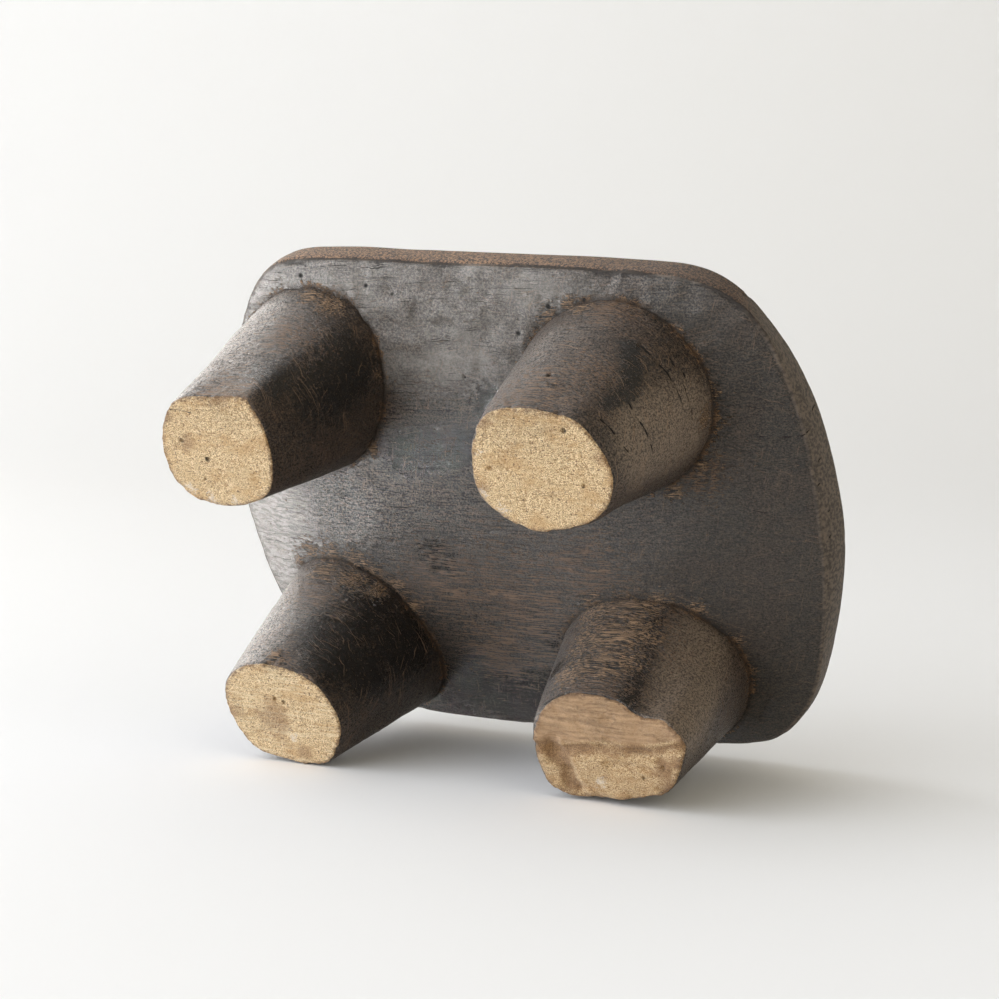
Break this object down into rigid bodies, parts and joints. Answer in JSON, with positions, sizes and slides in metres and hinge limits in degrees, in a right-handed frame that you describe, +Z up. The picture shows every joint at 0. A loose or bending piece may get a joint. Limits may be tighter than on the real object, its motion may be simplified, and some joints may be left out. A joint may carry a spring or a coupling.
{
  "type": "carved wooden headrest",
  "caption": "Low headrest or stool carved from one log: a thick dished seat with a bulging underside on fat tapered legs.",
  "frame": {"origin": "centre of the object's base, on the plane that the four soles stand on", "axes": "+X along the seat's long axis and the grain, +Y across the grain towards the back, +Z up from the soles to the sitting face"},
  "size_m": [0.403, 0.3172, 0.136],
  "materials": {
    "dark_patina_wood": "worn semi-gloss patina",
    "leg_wood": "semi-gloss patina, bare worn wood on the soles"
  },
  "bodies": {
    "root": {"seat": "dark_patina_wood", "leg_front_left": "leg_wood", "leg_front_right": "leg_wood", "leg_back_left": "leg_wood", "leg_back_right": "leg_wood"}
  },
  "joints": []
}
